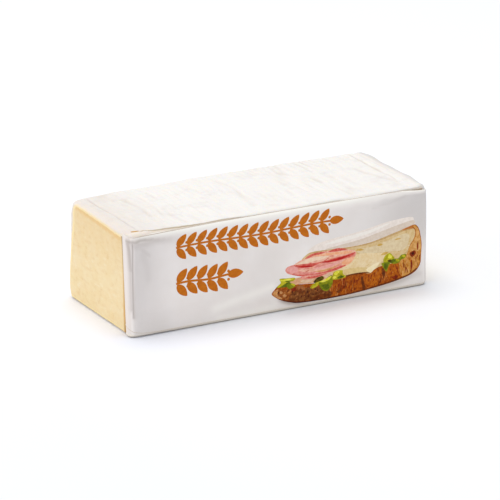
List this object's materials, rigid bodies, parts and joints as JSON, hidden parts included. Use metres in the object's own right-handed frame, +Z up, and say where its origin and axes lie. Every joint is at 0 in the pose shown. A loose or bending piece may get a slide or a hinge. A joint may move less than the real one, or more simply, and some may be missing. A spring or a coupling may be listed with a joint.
{
  "type": "brie",
  "caption": "Long bar of brie for slicing, with white rind along its sides, pale paste at its cut ends and a thin printed label folded round its front.",
  "frame": {"origin": "on the supporting surface, under the middle of the whole bar with its label", "axes": "+X runs along the bar, +Z is up, and the label faces -Y"},
  "size_m": [0.208, 0.088, 0.0662],
  "materials": {
    "cheese": "white bloomy rind with fine ripples along the sides, pale yellow cut paste at both ends",
    "label_film": "white printed film with a soft gloss and slight waves, orange ornament and a simple picture of an open sandwich"
  },
  "bodies": {
    "root": {"brie": "cheese", "label": "label_film"}
  },
  "joints": []
}
